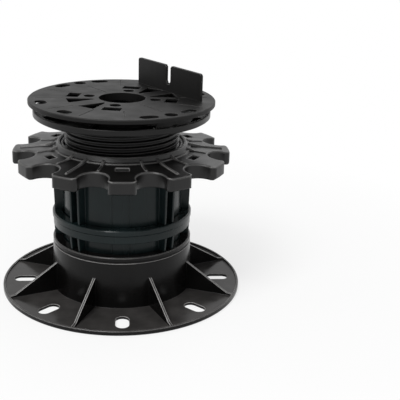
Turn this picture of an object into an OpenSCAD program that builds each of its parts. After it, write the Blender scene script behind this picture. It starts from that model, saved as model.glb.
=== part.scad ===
// Adjustable decking pedestal in black plastic: ribbed round base, two plug-in extension rings,
// lobed adjusting nut, threaded stem with its carrier disc, and a turning head plate with an upright fin.
// Millimetres, Z up, origin at the middle of the underside of the base.

/* [Base] */
// radius of the base flange
flange_r = 100; // [80:1:130]
// thickness of the flange web
flange_t = 2.2; // [1.8:0.1:4]
// height of the upturned edge of the flange
lip_h = 3.8; // [3:0.1:8]
// width of the upturned edge
lip_w = 1.6; // [1.2:0.1:4]
// height of the base up to the top of its collar
collar_h = 45; // [38:1:80]
// outer radius of the collar rim and of the ring rims
collar_r = 57.5; // [52:0.5:62]
// extra radius of the collar at its foot, the draft of the wall
collar_draft = 1.2; // [0.2:0.1:3]
// height of the plain band at the top of the collar
band_h = 3.4; // [2:0.1:6]
// height of the shallow groove below the band
groove_h = 1.6; // [0.8:0.1:3]
// depth of the shallow groove
groove_d = 0.9; // [0.4:0.1:1.6]
// radius of the drain opening in the floor of the base
drain_r = 30; // [10:1:40]
// number of triangular gussets, and of oblong flange slots
gusset_count = 8; // [4:1:12]
// thickness of a gusset
gusset_t = 2; // [1.4:0.1:4]
// height where a gusset meets the collar
gusset_h = 26.8; // [16:0.2:34]
// width of the oblong slots
slot_w = 10.6; // [6:0.2:12]
// length of the oblong slots, end to end
slot_len = 19; // [14:0.5:24]
// radius of the middle of the oblong slots
slot_r = 82; // [78:0.5:86]

/* [Rings] */
// width of a rim, from its socket to its outside
rim_w = 8; // [6.5:0.1:9.5]
// depth of the socket
ledge_depth = 8.6; // [6:0.1:12]
// wall of a ring body
ring_wall = 1.8; // [1.4:0.1:3]
// play between a plug and its socket, on the radius
plug_play = 0.4; // [0.3:0.05:0.8]
// height a short ring adds
short_rise = 22.5; // [18:0.5:34]
// height a tall ring adds
tall_rise = 47; // [36:0.5:70]
// height of the rim of a ring
rim_h = 11; // [9.6:0.1:14]
// height of the upper band of the rim
rim_band_h = 4.4; // [3:0.1:6]
// step in radius from the upper band to the lower band of the rim
rim_step = 0.7; // [0.3:0.1:1.4]
// length of the thin tail below the plug
tail_len = 15; // [8:0.5:20]
// thickness of the bracket fins under a ring rim
fin_t = 1.8; // [1.2:0.1:3]
// space between the two fins of a pair
fin_gap = 6.4; // [4:0.2:9]
// width of the notch in the lower edge of a ring
notch_w = 12.6; // [8:0.2:16]
// height of that notch
notch_h = 4.6; // [3:0.1:7]

/* [Adjusting nut] */
// radius over the lobes
nut_r = 88; // [84:0.5:96]
// number of lobes
lobe_count = 12; // [12:1:12]
// height of the lobe face
lobe_h = 10.4; // [9:0.1:14]
// radius of the finger notches between the lobes
finger_r = 11.5; // [10:0.1:13]
// distance of the notch middles inside the lobe tips
finger_in = 5.5; // [4:0.1:7]
// rounding of the lobe corners
lobe_round = 4; // [3:0.1:4.6]
// rise of the sloping top from the lobe edge to the foot of the hub
slope_rise = 2.6; // [1:0.1:4]
// wall of the plug of the nut, outside its thread
plug_wall = 2.1; // [1.8:0.1:2.8]
// how far the hub stands out over the plug at its top
hub_step = 3.5; // [2.4:0.1:5.4]
// extra radius of the hub at its foot
hub_flare = 2.4; // [1.6:0.1:4.4]
// height of the hub above the underside of the lobes
hub_h = 18; // [16:0.2:22]
// how far the lobes reach below the rim the nut sits on
nut_drop = 7; // [5:0.1:7.6]
// thickness of the nut skin
skin = 2.4; // [1.8:0.1:3.2]
// length of the windows in the nut, along the rim
window_len = 10; // [6:0.2:12]
// width of the windows in the nut, along the radius
window_w = 6.6; // [4:0.2:8]
// distance of the middle of the nut windows outside the rim below
window_out = 6.5; // [5.5:0.1:8.5]
// width of the ribs on the nut
line_w = 1.8; // [1:0.1:2.6]
// height of the ribs on the nut, out on the slope
line_h = 0.9; // [0.4:0.1:1.4]
// height of the ribs where they meet the hub
rib_rise = 2.6; // [1.4:0.1:3.4]

/* [Threaded stem] */
// depth of the thread
thread_depth = 2.4; // [1.8:0.1:2.6]
// rise of the thread in one turn
thread_pitch = 4.2; // [4:0.1:5]
// play between the two threads
thread_play = 0.4; // [0.35:0.05:0.5]
// wall of the stem below its thread
stem_wall = 2.6; // [2:0.1:4]
// bare height from the underside of the lobes to the carrier disc
stem_h = 38.4; // [34:0.2:46]
// radius of the carrier disc
disc_r = 71; // [66:0.5:74]
// height of the rim of the carrier disc
disc_h = 5.6; // [4.6:0.1:8]
// wall of the carrier disc
disc_wall = 2.2; // [1.6:0.1:3]
// distance of the neck that carries the head plate outside the plate windows
neck_out = 2; // [1:0.2:5]
// wall of that neck
neck_wall = 3; // [2:0.1:4]
// space between the carrier disc and the edge of the head plate
head_gap = 5; // [4:0.1:9]

/* [Head plate] */
// radius of the head plate
plate_r = 74.6; // [72:0.2:80]
// thickness of the head plate
plate_t = 1.8; // [1.6:0.1:4]
// height of the plate edge
edge_h = 3.5; // [3:0.1:5]
// radius of the middle hole
hole_r = 18.8; // [14:0.2:20]
// turn of the head plate about the stem
head_turn = 33; // [0:1:359]
// half width of the broad spoke between the wedge-shaped windows
spoke_half = 6.6; // [4:0.2:8]
// inner radius of the ring of plate windows
pane_in = 35; // [34:0.2:38]
// outer radius of the ring of plate windows
pane_out = 45; // [42:0.2:46]
// length of a plate window, along the rim
pane_len = 14.6; // [9:0.2:15]
// radius of the round holes inside the windows
spy_r = 4.6; // [3:0.1:4.8]
// radius of the fixing holes
fix_r = 5.2; // [3:0.1:5.4]
// distance of the ring of fixing holes inside the plate edge
fix_edge = 8.2; // [7.6:0.1:10.6]
// length of the fixing slots, end to end
fix_len = 15; // [11:0.2:16]
// width of the fixing slots
fix_w = 9; // [5:0.2:9.4]
// width of the fine radial grooves
scribe_w = 0.9; // [0.5:0.1:1.4]
// depth of the fine radial grooves
scribe_d = 0.5; // [0.3:0.1:1]
// play between the head plate and the stem
head_play = 0.4; // [0.3:0.05:0.8]

/* [Joist fin] */
// distance of the fin outside the plate windows
upright_out = 0; // [0:0.1:5]
// length of the fin
upright_len = 87; // [60:1:96]
// height of the fin above the plate
upright_h = 22; // [14:0.5:40]
// thickness of the fin
upright_t = 2.2; // [1.6:0.1:4]
// rounding of the upper corners of the fin
upright_round = 2.2; // [1:0.1:4]
// width of the slit in the fin
slit_w = 6.2; // [1.4:0.1:8]

/* [Hidden] */
round_n = 128;
small_n = 48;
thread_steps = 48;
// where the middle of the first ridge of the stem starts above its foot
thread_start = 2.6;
// how deep the back of a threaded sleeve is buried in its wall
bury = 0.8;
// how deep the fin is rooted in the head plate
fin_root = scribe_d + 0.4;
// bracket fins, thin seams and lower notches of a ring, in degrees from its front
bracket_degs = [-140, -90, -42, 42, 90, 140];
seam_degs = [-10, 7, 173, 190];
notch_degs = [31, 121, 211, 301];
// outer corner of the wedge windows, the square windows, the two fixing slots beside the broad spoke and
// beside the fixing hole, and the fine grooves, in degrees from the middle of the broad spoke
wedge_deg = 28;
pane_deg = 45.6;
spoke_slot_deg = 16.5;
side_slot_deg = 74.2;
groove_degs = [-58.5, -30, 30, 58.5];
shell_black = [0.075, 0.075, 0.08];
ring_black = [0.065, 0.07, 0.08];
opening_r = collar_r - rim_w;
body_r = opening_r - plug_play;
lower_r = body_r - ring_wall;
hub_r = body_r + hub_step;
hub_foot_r = hub_r + hub_flare;
window_r = collar_r + window_out;
crest_r = body_r - plug_wall - thread_play;
tail_r = lower_r - plug_play;
plug_depth = ledge_depth - plug_play;
short_z = collar_h;
tall_z = short_z + short_rise;
nut_seat_z = tall_z + tall_rise;
nut_z = nut_seat_z - nut_drop;
root_r = crest_r - thread_depth;
nut_major_r = crest_r + thread_play;
nut_minor_r = root_r + thread_play;
bore_r = root_r - stem_wall;
neck_r = pane_out + neck_out + neck_wall;
upright_at = pane_out + upright_out;
fix_pcd_r = plate_r - fix_edge;
disc_z = nut_z + stem_h;
disc_top_z = disc_z + disc_h;
plate_under_z = disc_top_z + head_gap + edge_h - plate_t;
plate_top_z = plate_under_z + plate_t;
lobe_pitch = 360 / lobe_count;
// how far the rounds of a lobe overlap where they meet
round_lap = 0.03;
slope_deg = atan(slope_rise / (nut_r - hub_foot_r));
finger_c = nut_r - finger_in;
corner_c = nut_r - lobe_round;
corner_sum = pow(corner_c, 2) + pow(finger_c, 2) - pow(finger_r + lobe_round, 2);
corner_cos = corner_sum / (2 * corner_c * finger_c);
corner_deg = lobe_pitch / 2 - acos(corner_cos);
crest_flat = thread_pitch * 0.28;
root_flat = crest_flat + 2 * thread_depth * 0.375;
nut_crest_flat = thread_pitch - root_flat - 2 * thread_play + 2 * thread_play * 0.375;
nut_root_flat = nut_crest_flat + 2 * (nut_major_r - nut_minor_r) * 0.375;
nut_bore_r = nut_major_r + bury / 2;
nut_thread_top = hub_h - 5;
core_r = root_r - bury / 2;
stem_turns = floor((stem_h - thread_start - root_flat / 2 - 1) / thread_pitch);
nut_start = thread_start + thread_pitch / 2;
nut_turns = floor((nut_thread_top - nut_start - nut_root_flat / 2 - 0.4) / thread_pitch);

// one oblong hole along the radius, seen from above
module oblong(len, wide) {
    square([len - wide, wide], center = true);
    for (s = [-1, 1]) {
        translate([s * (len - wide) / 2, 0]) {
            circle(r = wide / 2, $fn = small_n);
        }
    }
}

// sleeve with a helical ridge on one side and a plain back that is buried in the piece it belongs to:
// every column of points runs from the foot to the top, and the ridge fades into the wall at both ends
module threaded_sleeve(root, tip, back, root_flat, tip_flat, foot, top, start, turns) {
    steps = thread_steps;
    total = turns * steps;
    fade = steps / 6;
    offsets = [-root_flat / 2, -tip_flat / 2, tip_flat / 2, root_flat / 2];
    function swell(t) = min(1, min(t, total - t) / fade);
    function ridge_r(t, m) = m == 0 || m == 3 ? root : root + (tip - root) * swell(t);
    function at(r, j, z) = [r * cos(360 * j / steps), r * sin(360 * j / steps), z];
    function column(j) = concat(
        [at(root, j, foot)],
        [for (k = [0 : j == 0 ? turns : turns - 1]) for (m = [0 : 3])
            at(ridge_r(k * steps + j, m), j, start + thread_pitch * (k + j / steps) + offsets[m])],
        [at(root, j, top)]);
    seam_n = 4 * (turns + 1) + 2;
    col_n = 4 * turns + 2;
    back_0 = seam_n + (steps - 1) * col_n;
    function id(j, i) = j % steps == 0 ? i : seam_n + (j - 1) * col_n + i;
    function back_id(j, up) = back_0 + 2 * (j % steps) + up;
    function quad(a, b, c, d) = [[a, b, c], [a, c, d]];
    function last(j) = j % steps == 0 ? seam_n - 1 : col_n - 1;
    points = concat(
        [for (j = [0 : steps - 1]) each column(j)],
        [for (j = [0 : steps - 1]) for (z = [foot, top]) at(back, j, z)]);
    plain = [for (j = [1 : steps - 2]) for (i = [0 : col_n - 2])
        each quad(id(j, i), id(j + 1, i), id(j + 1, i + 1), id(j, i + 1))];
    first = concat(
        [for (i = [0 : col_n - 3]) each quad(id(0, i), id(1, i), id(1, i + 1), id(0, i + 1))],
        [for (i = [col_n - 2 : seam_n - 2]) [id(1, col_n - 2), id(0, i + 1), id(0, i)]],
        [[id(1, col_n - 2), id(1, col_n - 1), id(0, seam_n - 1)]]);
    closing = concat(
        [for (i = [1 : col_n - 2])
            each quad(id(steps - 1, i), id(0, i + 4), id(0, i + 5), id(steps - 1, i + 1))],
        [for (i = [0 : 4]) [id(steps - 1, 1), id(0, i), id(0, i + 1)]],
        [[id(steps - 1, 0), id(0, 0), id(steps - 1, 1)]]);
    ends = [for (j = [0 : steps - 1]) each concat(
        quad(id(j + 1, 0), id(j, 0), back_id(j, 0), back_id(j + 1, 0)),
        quad(id(j, last(j)), id(j + 1, last(j + 1)), back_id(j + 1, 1), back_id(j, 1)),
        quad(back_id(j + 1, 0), back_id(j, 0), back_id(j, 1), back_id(j + 1, 1)))];
    faces = concat(plain, first, closing, ends);
    turned = [for (f = faces) [f[2], f[1], f[0]]];
    polyhedron(points = points, faces = tip > root ? turned : faces, convexity = 10);
}

// ribbed base with flange, double-walled collar, gussets and oblong slots
module base() {
    wall_top = collar_h - band_h - groove_h;
    color(shell_black) difference() {
        union() {
            rotate_extrude($fn = round_n) polygon([
                [drain_r, 0],
                [flange_r - 0.6, 0],
                [flange_r, 0.6],
                [flange_r, lip_h - 0.5],
                [flange_r - 0.5, lip_h],
                [flange_r - lip_w, lip_h],
                [flange_r - lip_w - 0.4, flange_t],
                [collar_r + collar_draft, flange_t],
                [collar_r, wall_top],
                [collar_r - groove_d, wall_top + 0.3],
                [collar_r - groove_d, wall_top + groove_h],
                [collar_r, wall_top + groove_h],
                [collar_r, collar_h - 0.8],
                [collar_r - 0.8, collar_h],
                [opening_r + 0.6, collar_h],
                [opening_r, collar_h - 0.6],
                [opening_r, collar_h - ledge_depth],
                [lower_r, collar_h - ledge_depth],
                [lower_r, flange_t],
                [drain_r, flange_t]
            ]);
            for (i = [0 : gusset_count - 1]) {
                rotate([0, 0, (i + 0.5) * 360 / gusset_count - 90]) translate([0, gusset_t / 2, 0]) {
                    rotate([90, 0, 0]) linear_extrude(gusset_t) polygon([
                        [collar_r - 1, flange_t - 0.5],
                        [flange_r - lip_w - 0.1, flange_t - 0.5],
                        [flange_r - lip_w - 0.1, lip_h - 0.2],
                        [flange_r - lip_w - 5, lip_h + 0.6],
                        [collar_r + 0.2, gusset_h],
                        [collar_r - 1, gusset_h]
                    ]);
                }
            }
        }
        for (i = [0 : gusset_count - 1]) {
            rotate([0, 0, i * 360 / gusset_count - 90]) translate([slot_r, 0, -1]) {
                linear_extrude(flange_t + 2) oblong(slot_len, slot_w);
            }
        }
        // the collar is cored out from below, which leaves two thin walls
        rotate_extrude($fn = round_n) polygon([
            [lower_r + 2.6, -1],
            [collar_r - 2.4, -1],
            [collar_r - 2.8, collar_h - ledge_depth - 3],
            [lower_r + 2.6, collar_h - ledge_depth - 3]
        ]);
    }
}

// extension ring: socket and rim above, plug and thin tail below, bracket fins under the rim
module ring(rise) {
    foot = -plug_depth - tail_len;
    fin_out = collar_r - rim_step - 0.4;
    color(ring_black) difference() {
        union() {
            rotate_extrude($fn = round_n) polygon([
                [tail_r - ring_wall, foot],
                [tail_r - 0.5, foot],
                [tail_r, foot + 0.5],
                [tail_r, -plug_depth],
                [body_r, -plug_depth],
                [body_r, rise - rim_h],
                [collar_r - rim_step, rise - rim_h],
                [collar_r - rim_step, rise - rim_band_h - 0.8],
                [collar_r - rim_step - 0.5, rise - rim_band_h - 0.6],
                [collar_r - rim_step - 0.5, rise - rim_band_h],
                [collar_r, rise - rim_band_h],
                [collar_r, rise - 0.9],
                [collar_r - 0.9, rise],
                [opening_r + 0.6, rise],
                [opening_r, rise - 0.6],
                [opening_r, rise - ledge_depth],
                [lower_r, rise - ledge_depth],
                [lower_r, -plug_depth + 2],
                [tail_r - ring_wall, -plug_depth + 0.4]
            ]);
            for (a = bracket_degs) for (s = [-1, 1]) {
                rotate([0, 0, a - 90]) translate([0, s * (fin_gap + fin_t) / 2 + fin_t / 2, 0]) {
                    rotate([90, 0, 0]) linear_extrude(fin_t) polygon([
                        [body_r - 0.6, 0],
                        [fin_out - 1, 0],
                        [fin_out, rise - rim_h + 0.5],
                        [body_r - 0.6, rise - rim_h + 0.5]
                    ]);
                }
            }
            for (a = seam_degs) {
                rotate([0, 0, a - 90]) translate([body_r - 0.6, -0.6, 0.6]) {
                    cube([1.4, 1.2, rise - rim_h]);
                }
            }
        }
        for (a = notch_degs) {
            rotate([0, 0, a - 90]) translate([tail_r - ring_wall - 2, 0, foot]) {
                rotate([90, 0, 90]) linear_extrude(ring_wall + 4) polygon([
                    [-notch_w / 2, -1],
                    [notch_w / 2, -1],
                    [notch_w / 2 - notch_h * 0.75, notch_h],
                    [-notch_w / 2 + notch_h * 0.75, notch_h]
                ]);
            }
        }
        // the rim is cored out from below between its two walls
        rotate_extrude($fn = round_n) polygon([
            [opening_r + 2.2, rise - rim_h - 0.01],
            [collar_r - rim_step - 2.4, rise - rim_h - 0.01],
            [collar_r - rim_step - 2.4, rise - 3],
            [opening_r + 2.2, rise - 3]
        ]);
    }
}

// plug-in ring that adds the small height
module short_ring() {
    translate([0, 0, short_z]) ring(short_rise);
}

// plug-in ring that adds the large height
module tall_ring() {
    translate([0, 0, tall_z]) ring(tall_rise);
}

// outline of the lobed nut seen from above, drawn in by a given margin
module nut_outline(margin) {
    difference() {
        union() {
            circle(r = finger_c - finger_r * 0.5, $fn = round_n);
            for (i = [0 : lobe_count - 1]) {
                rotate([0, 0, i * lobe_pitch - 90]) {
                    polygon([
                        [0, 0],
                        [finger_c * cos(lobe_pitch / 2), -finger_c * sin(lobe_pitch / 2)],
                        [corner_c * cos(corner_deg), -corner_c * sin(corner_deg)],
                        [corner_c * cos(corner_deg), corner_c * sin(corner_deg)],
                        [finger_c * cos(lobe_pitch / 2), finger_c * sin(lobe_pitch / 2)]
                    ]);
                    intersection() {
                        circle(r = nut_r - margin, $fn = round_n);
                        polygon([
                            [0, 0],
                            [2 * nut_r * cos(corner_deg), -2 * nut_r * sin(corner_deg)],
                            [2 * nut_r * cos(corner_deg), 2 * nut_r * sin(corner_deg)]
                        ]);
                    }
                    for (s = [-1, 1]) {
                        rotate([0, 0, s * corner_deg]) translate([corner_c, 0]) {
                            circle(r = lobe_round + round_lap - margin, $fn = small_n);
                        }
                    }
                }
            }
        }
        for (i = [0 : lobe_count - 1]) {
            rotate([0, 0, (i + 0.5) * lobe_pitch - 90]) translate([finger_c, 0]) {
                circle(r = finger_r + 2 * round_lap + margin, $fn = small_n);
            }
        }
    }
}

// solid of the nut as it would be turned, before the lobes are cut
module nut_turned() {
    foot_h = lobe_h + slope_rise;
    rotate_extrude($fn = round_n) polygon([
        [nut_bore_r, 0],
        [nut_r - 1, 0],
        [nut_r + 1, 2],
        [nut_r + 1, lobe_h - 2.6],
        [nut_r - 0.4, lobe_h - 0.5],
        [nut_r - 1.3, lobe_h],
        [hub_foot_r + 1, foot_h],
        [hub_foot_r + 0.9, foot_h + 0.9],
        [hub_foot_r + 0.5, foot_h + 1.2],
        [hub_foot_r - 0.8, foot_h + 1.2],
        [hub_r, hub_h - 0.9],
        [hub_r - 0.8, hub_h],
        [hub_r - 1.8, hub_h],
        [hub_r - 2.4, hub_h - 0.6],
        [hub_r - 2.5, hub_h - 3],
        [hub_r - 3.3, hub_h - 3],
        [hub_r - 3.4, hub_h - 1.4],
        [nut_bore_r + 0.5, hub_h - 1.4],
        [nut_bore_r, hub_h - 1.9]
    ]);
}

// rib on the sloping top of the nut, tall against the hub and low out to a given radius
module nut_rib(end_r, tall) {
    foot_h = lobe_h + slope_rise;
    end_h = foot_h - (end_r - hub_foot_r) * tan(slope_deg);
    low_r = hub_foot_r + (end_r - hub_foot_r) * 0.4;
    low_h = foot_h - (low_r - hub_foot_r) * tan(slope_deg);
    translate([0, line_w / 2, 0]) rotate([90, 0, 0]) linear_extrude(line_w) polygon([
        [hub_r - 0.4, foot_h - 1],
        [end_r, end_h - 1],
        [end_r, end_h + line_h * tall],
        [low_r, low_h + line_h * tall],
        [hub_r + 1.8, foot_h + rib_rise],
        [hub_r - 0.4, foot_h + rib_rise]
    ]);
}

// pair of stiffening webs below one lobe
module nut_webs() {
    for (s = [-1, 1]) {
        translate([0, s * (window_len / 2 + 1.4) + 0.8, 0]) rotate([90, 0, 0]) linear_extrude(1.6) polygon([
            [collar_r + 2.6, 1],
            [finger_c - finger_r - 1, 1],
            [finger_c - finger_r - 1, lobe_h - 1],
            [collar_r + 2.6, lobe_h + slope_rise - 1.4]
        ]);
    }
}

// lobed nut: plug, seat, sloping ribbed top, hub and inner thread
module adjusting_nut() {
    foot_h = lobe_h + slope_rise;
    color(shell_black) translate([0, 0, nut_z]) {
        difference() {
            union() {
                intersection() {
                    nut_turned();
                    linear_extrude(hub_h + 1) nut_outline(0);
                }
                // ribs, long on every other lobe and short behind every notch
                for (i = [0 : lobe_count - 1]) {
                    if (i % 2 == 1) {
                        rotate([0, 0, i * lobe_pitch - 90]) nut_rib(nut_r - 6, 1);
                    }
                    rotate([0, 0, (i + 0.5) * lobe_pitch - 90]) nut_rib(finger_c - finger_r - 1.8, 0.7);
                }
            }
            // hollow underside of the lobes
            intersection() {
                rotate_extrude($fn = round_n) polygon([
                    [collar_r + 2.4, -1],
                    [nut_r + 1, -1],
                    [nut_r + 1, lobe_h - skin],
                    [collar_r + 2.4, foot_h - skin - 0.2]
                ]);
                translate([0, 0, -1]) linear_extrude(hub_h) nut_outline(skin);
            }
            // seat for the rim below
            rotate_extrude($fn = round_n) polygon([
                [body_r, -1],
                [collar_r + 2.5, -1],
                [collar_r + 2.5, nut_drop],
                [body_r, nut_drop]
            ]);
            for (i = [0 : lobe_count - 1]) {
                // softened upper edge of the finger notches
                rotate([0, 0, (i + 0.5) * lobe_pitch - 90]) {
                    translate([finger_c, 0, lobe_h + slope_rise * 0.17]) rotate([0, slope_deg, 0]) {
                        translate([0, 0, -1.1]) {
                            cylinder(h = 2.2, r1 = finger_r - 0.2, r2 = finger_r + 2, $fn = small_n);
                        }
                    }
                }
                if (i % 2 == 0) {
                    rotate([0, 0, i * lobe_pitch - 90]) translate([window_r, 0, hub_h / 2]) {
                        cube([window_w, window_len, hub_h + 2], center = true);
                    }
                }
            }
        }
        // stiffening webs below the lobes
        for (i = [0 : lobe_count - 1]) {
            rotate([0, 0, i * lobe_pitch - 90]) nut_webs();
        }
        threaded_sleeve(nut_major_r, nut_minor_r, nut_bore_r + bury, nut_root_flat, nut_crest_flat,
            0.5, nut_thread_top, nut_start, nut_turns);
    }
}

// hollow stem with an outer thread, carrying the dished disc and the neck for the head plate
module threaded_stem() {
    color(shell_black) translate([0, 0, nut_z]) {
        rotate_extrude($fn = round_n) polygon([
            [bore_r, 0],
            [core_r, 0],
            [core_r, stem_h],
            [disc_r - 2, stem_h],
            [disc_r - 1.8, stem_h + 0.9],
            [disc_r - 0.5, stem_h + 0.9],
            [disc_r, stem_h + 1.4],
            [disc_r, stem_h + disc_h - 0.5],
            [disc_r - 0.5, stem_h + disc_h],
            [disc_r - disc_wall, stem_h + disc_h],
            [disc_r - disc_wall, stem_h + disc_wall],
            [neck_r, stem_h + disc_wall],
            [neck_r, plate_under_z - nut_z],
            [neck_r - neck_wall, plate_under_z - nut_z],
            [neck_r - neck_wall, stem_h + disc_wall],
            [bore_r, stem_h + disc_wall]
        ]);
        // webs between the neck and the disc rim
        for (i = [0 : 7]) {
            rotate([0, 0, i * 45 + 22.5]) translate([neck_r - 1, -0.9, stem_h + disc_wall - 0.5]) {
                cube([disc_r - disc_wall - neck_r + 1.5, 1.8, disc_h - disc_wall - 0.6]);
            }
        }
        threaded_sleeve(root_r, crest_r, core_r - bury, root_flat, crest_flat,
            0.5, stem_h + 0.6, thread_start, stem_turns);
    }
}

// rows of windows, holes and slots of the head plate, seen from above
module plate_openings() {
    circle(r = hole_r, $fn = round_n);
    for (h = [0, 180]) rotate([0, 0, h]) {
        for (s = [0, 1]) mirror([0, s, 0]) {
            polygon([
                [hole_r + 2.2, spoke_half],
                [pane_out, spoke_half],
                [pane_out * cos(wedge_deg), pane_out * sin(wedge_deg)],
                [hole_r + 3.4, spoke_half + 3]
            ]);
            rotate([0, 0, pane_deg]) {
                translate([(hole_r + pane_in) / 2 + 0.2, 0]) circle(r = spy_r, $fn = small_n);
                translate([(pane_in + pane_out) / 2, 0]) {
                    square([pane_out - pane_in, pane_len], center = true);
                }
            }
            rotate([0, 0, spoke_slot_deg]) translate([fix_pcd_r - 0.9, 0]) rotate([0, 0, 90]) {
                oblong(fix_len - 2, fix_w);
            }
            rotate([0, 0, side_slot_deg]) translate([fix_pcd_r, 0]) rotate([0, 0, 90]) {
                oblong(fix_len, fix_w);
            }
        }
        rotate([0, 0, 90]) translate([fix_pcd_r, 0]) circle(r = fix_r, $fn = small_n);
    }
}

// fine groove in the top of the plate, along the radius
module scribe(from_r, to_r) {
    translate([from_r, -scribe_w / 2, plate_t - scribe_d]) cube([to_r - from_r, scribe_w, scribe_d + 1]);
}

// face of the upright fin: two leaves with rounded upper corners and a slit between them
module fin_face() {
    side = upright_len / 2;
    top = upright_h + fin_root;
    half = slit_w / 2;
    floor_h = fin_root + upright_h * 0.28;
    soft = upright_round * 0.7;
    difference() {
        union() {
            translate([-side, 0]) square([upright_len, top - upright_round]);
            translate([upright_round - side, 0]) square([upright_len - 2 * upright_round, top]);
            for (s = [-1, 1]) translate([s * (side - upright_round), top - upright_round]) {
                circle(r = upright_round, $fn = small_n);
            }
        }
        polygon([
            [-half - soft - 1, top + 1],
            [-half, top - soft],
            [-half, floor_h + half],
            [-half / 2, floor_h],
            [half / 2, floor_h],
            [half, floor_h + half],
            [half, top - soft],
            [half + soft + 1, top + 1]
        ]);
    }
}

// head plate that turns on the neck of the stem, with bosses below and an upright fin above
module head_plate() {
    color(shell_black) translate([0, 0, plate_under_z]) rotate([0, 0, head_turn]) {
        difference() {
            union() {
                rotate_extrude($fn = round_n) polygon([
                    [0, 0],
                    [plate_r - 2.4, 0],
                    [plate_r - 2, plate_t - edge_h],
                    [plate_r - 0.5, plate_t - edge_h],
                    [plate_r, plate_t - edge_h + 0.5],
                    [plate_r, plate_t - 0.6],
                    [plate_r - 0.6, plate_t],
                    [0, plate_t]
                ]);
                // bosses below the fixing holes, down to the carrier disc
                for (h = [-90, 90]) intersection() {
                    rotate_extrude($fn = round_n) polygon([
                        [fix_pcd_r - fix_r - 2.6, disc_top_z - plate_under_z + head_play],
                        [disc_r - 0.6, disc_top_z - plate_under_z + head_play],
                        [plate_r - 1.2, plate_t - edge_h - 0.6],
                        [plate_r - 0.8, plate_t - 1],
                        [fix_pcd_r - fix_r - 2.6, plate_t - 1]
                    ]);
                    rotate([0, 0, h]) translate([fix_pcd_r, 0, -5]) cube([24, 32, 30], center = true);
                }
                // collar around the middle hole, and the ring that centres the plate on the neck
                rotate_extrude($fn = round_n) polygon([
                    [hole_r, -4.6],
                    [hole_r + 2, -4.6],
                    [hole_r + 2, 0.5],
                    [hole_r, 0.5]
                ]);
                rotate_extrude($fn = round_n) polygon([
                    [neck_r + head_play, -3],
                    [neck_r + head_play + 1.8, -3],
                    [neck_r + head_play + 1.8, 0.5],
                    [neck_r + head_play, 0.5]
                ]);
            }
            translate([0, 0, -20]) linear_extrude(40) plate_openings();
            // fine grooves from the windows out to the rim
            for (h = [0, 180]) rotate([0, 0, h]) {
                for (a = groove_degs) {
                    rotate([0, 0, a]) scribe(pane_out + 1.4, fix_pcd_r + 2.6);
                }
                translate([0, spoke_half / 2]) scribe(pane_out + 1.4, fix_pcd_r + 2.6);
                rotate([0, 0, 90]) scribe(hole_r + 5, fix_pcd_r - fix_r - 6);
            }
        }
        // upright fin in two leaves with a slit between them
        translate([upright_at + upright_t, 0, plate_t - fin_root]) rotate([90, 0, -90]) {
            linear_extrude(upright_t) fin_face();
        }
    }
}

base();
short_ring();
tall_ring();
adjusting_nut();
threaded_stem();
head_plate();
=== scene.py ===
"""Looks of the adjustable decking pedestal: moulded plastics, floor, light and camera."""

import math
from typing import NamedTuple

import bpy
from mathutils import Matrix, Vector

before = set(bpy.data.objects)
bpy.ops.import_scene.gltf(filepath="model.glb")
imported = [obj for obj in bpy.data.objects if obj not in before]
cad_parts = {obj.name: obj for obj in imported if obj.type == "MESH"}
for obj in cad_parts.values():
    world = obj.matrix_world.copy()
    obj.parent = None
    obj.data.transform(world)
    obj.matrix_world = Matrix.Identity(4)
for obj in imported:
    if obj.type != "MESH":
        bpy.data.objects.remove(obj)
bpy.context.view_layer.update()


class Plastic(NamedTuple):
    """Linear colours of a plastic, and the pale colour of the highlight painted along its upward-leaning
    edges.
    """

    body: tuple
    painted_highlight: tuple


class Finish(NamedTuple):
    """Surface of one CAD node: its plastic, edge rounding in metres, share of painted edge highlight, and
    gloss.
    """

    plastic: str
    edge_radius: float
    highlight_share: float
    roughness: float
    specular: float


class Lamp(NamedTuple):
    """Square soft box: place and edge length in metres, and power in watts."""

    place: tuple
    size: float
    watts: float


# width of the picture and of the camera's sensor
IMAGE_PX = 400
SENSOR_MM = 36.0
# camera: metres from the screw axis, metres above the floor, and where the axis stands in the picture
CAMERA_BACK = 0.65
CAMERA_UP = 0.305
FOCAL_PX = 822.0
AXIS_PX = 122.3
PITCH_DEG = 19.64

# body colour of each plastic, and the pale colour painted along its upward-leaning edges as a highlight
PLASTICS = {
    "black_plastic": Plastic(body=(0.0036, 0.0034, 0.0033), painted_highlight=(0.540, 0.530, 0.520)),
    "ring_plastic": Plastic(body=(0.0066, 0.0125, 0.0132), painted_highlight=(0.150, 0.172, 0.178)),
}
# each finish sets how strongly the pale edge highlight is painted, as a share of its plastic's highlight
# colour
RING_FINISH = Finish("ring_plastic", edge_radius=0.0008, highlight_share=0.6, roughness=0.24, specular=0.21)
FINISHES = {
    "base": Finish("black_plastic", edge_radius=0.0009, highlight_share=1.0, roughness=0.21, specular=0.17),
    "short_ring": RING_FINISH,
    "tall_ring": RING_FINISH,
    "adjusting_nut": Finish("black_plastic", edge_radius=0.0020, highlight_share=0.38, roughness=0.36, specular=0.38),
    "threaded_stem": Finish("black_plastic", edge_radius=0.0006, highlight_share=0.28, roughness=0.33, specular=0.26),
    "head_plate": Finish("black_plastic", edge_radius=0.0004, highlight_share=0.24, roughness=0.50, specular=0.19),
}
# how far the gloss wanders along the draw lines
ROUGHNESS_PLAY = 0.06

# texture sizes, in cells per metre
CLOUD_SCALE = 22.0
FLOW_SCALE = (60.0, 60.0, 7.0)
GRAIN_SCALE = 1500.0
SCRATCH_SCALE = (30.0, 640.0, 60.0)
SPECK_SCALE = 420.0
FLOOR_SCALE = 6.0
# span that holds nearly all values of a noise texture
NOISE_SPAN = (0.3, 0.7)
# rays per sample of the nodes that feel for edges
EDGE_SAMPLES = 8

# painted edge highlight: its width in edge radii, and the least highlight as a share of the most
EDGE_REACH = 1.2
LEAST_HIGHLIGHT = 0.6
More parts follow.
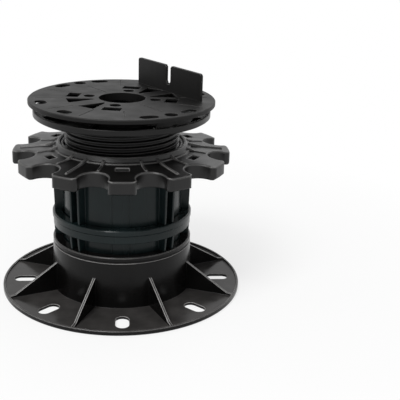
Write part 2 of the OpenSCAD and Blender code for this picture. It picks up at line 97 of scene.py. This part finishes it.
# open share of the space behind a face, from plain faces to outer edges
OUTER_SPAN = (0.92, 0.62)
# upward part of the normal, from walls to leaning edges and from flat tops to leaning edges, so that the
# highlight is painted only on edges that face the lamps above
WALL_TO_LEAN = (0.05, 0.55)
TOP_TO_LEAN = (0.98, 0.86)
# upward part of the normal, from leaning faces to flat tops
LEAN_TO_TOP = (0.80, 0.98)

# darkest and lightest clouds in the plastic, as shares of its colour
CLOUD_SHADES = (0.8, 1.2)
# height in metres and strength of the bumps of the grain
GRAIN_DEPTH = 0.00012
GRAIN_STRENGTH = 0.16
# grit scuffs the upper faces over this span of heights in metres: how much lighter, and how densely
GRIT_SPAN = (0.012, 0.006)
GRIT_LIFT = 13.5
GRIT_DENSITY = (0.55, 0.95)
# scratches and dust on the upper faces: how much lighter, and how densely
MARK_LIFT = 5.0
MARK_DENSITY = 0.6
# noise values from none to a scratch, and distances in cells from none to a speck of dust
SCRATCH_SPAN = (0.70, 0.76)
SPECK_SPAN = (0.10, 0.05)

# soft boxes, all aimed at one point of the object
LAMP_TARGET = (0.0, 0.0, 0.1)
LAMPS = {
    "key": Lamp(place=(-0.5, -0.6, 1.2), size=0.5, watts=13.0),
    "rim": Lamp(place=(0.6, 1.0, 1.1), size=0.8, watts=3.0),
}
WHITE = (1.0, 1.0, 1.0)
# strength of the white surroundings as a light
SKY_LIGHT = 0.40
# edge length of the floor in metres, and its two shades
FLOOR_SIZE = 60.0
FLOOR_SHADES = ((0.93, 0.93, 0.93), (0.95, 0.95, 0.95))
# share of plain white that is seen on the floor at the object, and the metres over which it becomes whole
FLOOR_WHITE = 0.70
FADE_SPAN = (0.10, 0.42)


class Graph:
    """Short helper around the nodes of one material or world."""

    def __init__(self, owner):
        owner.use_nodes = True
        self.tree = owner.node_tree
        self.tree.nodes.clear()

    def add(self, kind, inputs=None, **settings):
        """New node with its settings, and its inputs linked or set."""
        node = self.tree.nodes.new(kind)
        for key, value in settings.items():
            setattr(node, key, value)
        for key, value in (inputs or {}).items():
            self.feed(node.inputs[key], value)
        return node

    def feed(self, socket, value):
        """Links another socket, or sets a colour or a number."""
        if isinstance(value, bpy.types.NodeSocket):
            self.tree.links.new(value, socket)
        elif socket.type == "RGBA":
            socket.default_value = (*value, 1.0)
        else:
            socket.default_value = value

    def height_of(self, vector):
        """Upward part of a place or a direction."""
        return self.add("ShaderNodeSeparateXYZ", {"Vector": vector}).outputs["Z"]

    def noise(self, place, scale, detail=3.0, rough=0.5):
        """Soft noise with cells of one size."""
        inputs = {"Vector": place, "Scale": scale, "Detail": detail, "Roughness": rough}
        return self.add("ShaderNodeTexNoise", inputs).outputs["Fac"]

    def stretched_noise(self, place, scales, detail):
        """Soft noise with its own cell size along each axis."""
        cells = self.add("ShaderNodeMapping", {"Vector": place, "Scale": scales}).outputs["Vector"]
        return self.noise(cells, 1.0, detail)

    def spread(self, value, span, result=(0.0, 1.0)):
        """Value moved from one span to another, and held within it."""
        inputs = {
            "Value": value,
            "From Min": span[0],
            "From Max": span[1],
            "To Min": result[0],
            "To Max": result[1],
        }
        return self.add("ShaderNodeMapRange", inputs).outputs["Result"]

    def mix_colour(self, factor, first, second):
        """First colour where the factor is 0, second where it is 1."""
        return self.add("ShaderNodeMix", {0: factor, 6: first, 7: second}, data_type="RGBA").outputs[2]

    def product(self, first, second):
        """Two masks, both of which must hold."""
        return self.add("ShaderNodeMath", {0: first, 1: second}, operation="MULTIPLY").outputs[0]

    def larger(self, first, second):
        """Two masks, either of which may hold."""
        return self.add("ShaderNodeMath", {0: first, 1: second}, operation="MAXIMUM").outputs[0]


def scaled(colour, factor):
    """Colour made lighter or darker."""
    return tuple(factor * channel for channel in colour)


def highlight_edge_mask(graph, reach, soft_normal):
    """Where the edge highlight is painted: rises from 0 on faces to 1 along outer edges that lean upward to
    the lamps, where little matter lies behind.
    """
    inputs = {"Distance": reach}
    behind = graph.add("ShaderNodeAmbientOcclusion", inputs, samples=EDGE_SAMPLES, inside=True)
    outer = graph.spread(behind.outputs["AO"], OUTER_SPAN)
    upward = graph.height_of(soft_normal)
    leaning = graph.product(graph.spread(upward, WALL_TO_LEAN), graph.spread(upward, TOP_TO_LEAN))
    return graph.product(outer, leaning)


def top_mask(graph):
    """1 on faces that look straight up."""
    normal = graph.add("ShaderNodeNewGeometry").outputs["Normal"]
    return graph.spread(graph.height_of(normal), LEAN_TO_TOP)


def surface_marks(graph, place):
    """Hair scratches and specks of dust."""
    hairs = graph.spread(graph.stretched_noise(place, SCRATCH_SCALE, detail=1.0), SCRATCH_SPAN)
    cells = graph.add("ShaderNodeTexVoronoi", {"Vector": place, "Scale": SPECK_SCALE})
    specks = graph.spread(cells.outputs["Distance"], SPECK_SPAN)
    return graph.larger(hairs, specks)


def plastic_colour(graph, place, flow, colour):
    """Clouded body colour with grit low down, and scratches and dust on the upper faces."""
    clouds = graph.spread(graph.noise(place, CLOUD_SCALE, detail=4.0), NOISE_SPAN)
    body = graph.mix_colour(clouds, *(scaled(colour, shade) for shade in CLOUD_SHADES))
    tops = top_mask(graph)
    low_tops = graph.product(tops, graph.spread(graph.height_of(place), GRIT_SPAN))
    grit = graph.product(low_tops, graph.spread(flow, NOISE_SPAN, GRIT_DENSITY))
    body = graph.mix_colour(grit, body, scaled(colour, GRIT_LIFT))
    marks = graph.product(graph.product(tops, surface_marks(graph, place)), MARK_DENSITY)
    return graph.mix_colour(marks, body, scaled(colour, MARK_LIFT))


def moulded_plastic(node, finish):
    """Satin injection-moulded plastic with a fine grain, draw lines down the walls and a pale highlight
    painted along its upper edges.
    """
    plastic = PLASTICS[finish.plastic]
    material = bpy.data.materials.new(f"{finish.plastic}_{node}")
    graph = Graph(material)
    place = graph.add("ShaderNodeTexCoord").outputs["Object"]
    flow = graph.stretched_noise(place, FLOW_SCALE, detail=2.0)
    rounding = graph.add("ShaderNodeBevel", {"Radius": finish.edge_radius}, samples=EDGE_SAMPLES)
    soft_normal = rounding.outputs["Normal"]
    edges = highlight_edge_mask(graph, EDGE_REACH * finish.edge_radius, soft_normal)
    highlight_span = (LEAST_HIGHLIGHT * finish.highlight_share, finish.highlight_share)
    # pale highlight painted along the upward-leaning edges, patchy along the draw lines
    painted_highlight = graph.product(edges, graph.spread(flow, NOISE_SPAN, highlight_span))
    body = plastic_colour(graph, place, flow, plastic.body)
    bumps = {
        "Strength": GRAIN_STRENGTH,
        "Distance": GRAIN_DEPTH,
        "Height": graph.noise(place, GRAIN_SCALE, detail=2.0, rough=0.6),
        "Normal": soft_normal,
    }
    gloss_span = (finish.roughness - ROUGHNESS_PLAY, finish.roughness + ROUGHNESS_PLAY)
    surface = {
        "Base Color": graph.mix_colour(painted_highlight, body, plastic.painted_highlight),
        "Roughness": graph.spread(flow, NOISE_SPAN, gloss_span),
        "Specular IOR Level": finish.specular,
        "Normal": graph.add("ShaderNodeBump", bumps).outputs["Normal"],
    }
    shader = graph.add("ShaderNodeBsdfPrincipled", surface)
    graph.add("ShaderNodeOutputMaterial", {"Surface": shader.outputs["BSDF"]})
    return material


def dress_nodes():
    """Gives every CAD node its plastic with its own finish."""
    for node, finish in FINISHES.items():
        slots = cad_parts[node].data.materials
        slots.clear()
        slots.append(moulded_plastic(node, finish))


def background_rays(graph):
    """1 for rays that look at the background: from the camera, from gloss and through clear matter."""
    rays = graph.add("ShaderNodeLightPath").outputs
    seen = graph.larger(rays["Is Camera Ray"], rays["Is Glossy Ray"])
    return graph.larger(seen, rays["Is Transmission Ray"])


def floor_material():
    """White paint that shows shadows near the object and fades to plain white around it."""
    material = bpy.data.materials.new("pale_floor")
    graph = Graph(material)
    place = graph.add("ShaderNodeTexCoord").outputs["Object"]
    paint = graph.mix_colour(graph.spread(graph.noise(place, FLOOR_SCALE), NOISE_SPAN), *FLOOR_SHADES)
    lit = graph.add("ShaderNodeBsdfDiffuse", {"Color": paint}).outputs["BSDF"]
    white = graph.add("ShaderNodeEmission", {"Color": WHITE, "Strength": 1.0}).outputs["Emission"]
    away = graph.add("ShaderNodeVectorMath", {0: place}, operation="LENGTH").outputs["Value"]
    plain = graph.spread(away, FADE_SPAN, (FLOOR_WHITE, 1.0))
    share = graph.product(background_rays(graph), plain)
    shader = graph.add("ShaderNodeMixShader", {0: share, 1: lit, 2: white})
    graph.add("ShaderNodeOutputMaterial", {"Surface": shader.outputs["Shader"]})
    return material


def pale_floor():
    """Large floor that fills the picture."""
    bpy.ops.mesh.primitive_plane_add(size=FLOOR_SIZE, location=(0.0, 0.0, 0.0))
    floor = bpy.context.object
    floor.name = "floor"
    floor.data.materials.append(floor_material())


def white_world():
    """White surroundings for the camera and for reflections, dimmer as a light source."""
    world = bpy.data.worlds.new("studio")
    bpy.context.scene.world = world
    graph = Graph(world)
    strength = graph.spread(background_rays(graph), (0.0, 1.0), (SKY_LIGHT, 1.0))
    sky = graph.add("ShaderNodeBackground", {"Color": WHITE, "Strength": strength})
    graph.add("ShaderNodeOutputWorld", {"Surface": sky.outputs["Background"]})


def soft_lamps():
    """Hangs the soft boxes and aims them at the object."""
    for name, lamp in LAMPS.items():
        data = bpy.data.lights.new(name, "AREA")
        data.shape = "SQUARE"
        data.size = lamp.size
        data.energy = lamp.watts
        box = bpy.data.objects.new(name, data)
        box.location = lamp.place
        aim = Vector(LAMP_TARGET) - Vector(lamp.place)
        box.rotation_euler = aim.to_track_quat("-Z", "Y").to_euler()
        bpy.context.scene.collection.objects.link(box)


def photo_camera():
    """Camera at the height and distance of the photograph, turned so the axis stands left of the middle."""
    data = bpy.data.cameras.new("camera")
    data.sensor_width = SENSOR_MM
    data.lens = SENSOR_MM * FOCAL_PX / IMAGE_PX
    camera = bpy.data.objects.new("camera", data)
    look_down = Matrix.Rotation(math.radians(90.0 - PITCH_DEG), 4, "X")
    aside = math.atan((IMAGE_PX / 2 - AXIS_PX) / FOCAL_PX)
    turn = Matrix.Rotation(-aside, 4, "Y")
    stand = Matrix.Translation((0.0, -CAMERA_BACK, CAMERA_UP))
    camera.matrix_world = stand @ look_down @ turn
    bpy.context.scene.collection.objects.link(camera)
    bpy.context.scene.camera = camera


bpy.context.scene.view_settings.view_transform = "Standard"
dress_nodes()
pale_floor()
white_world()
soft_lamps()
photo_camera()
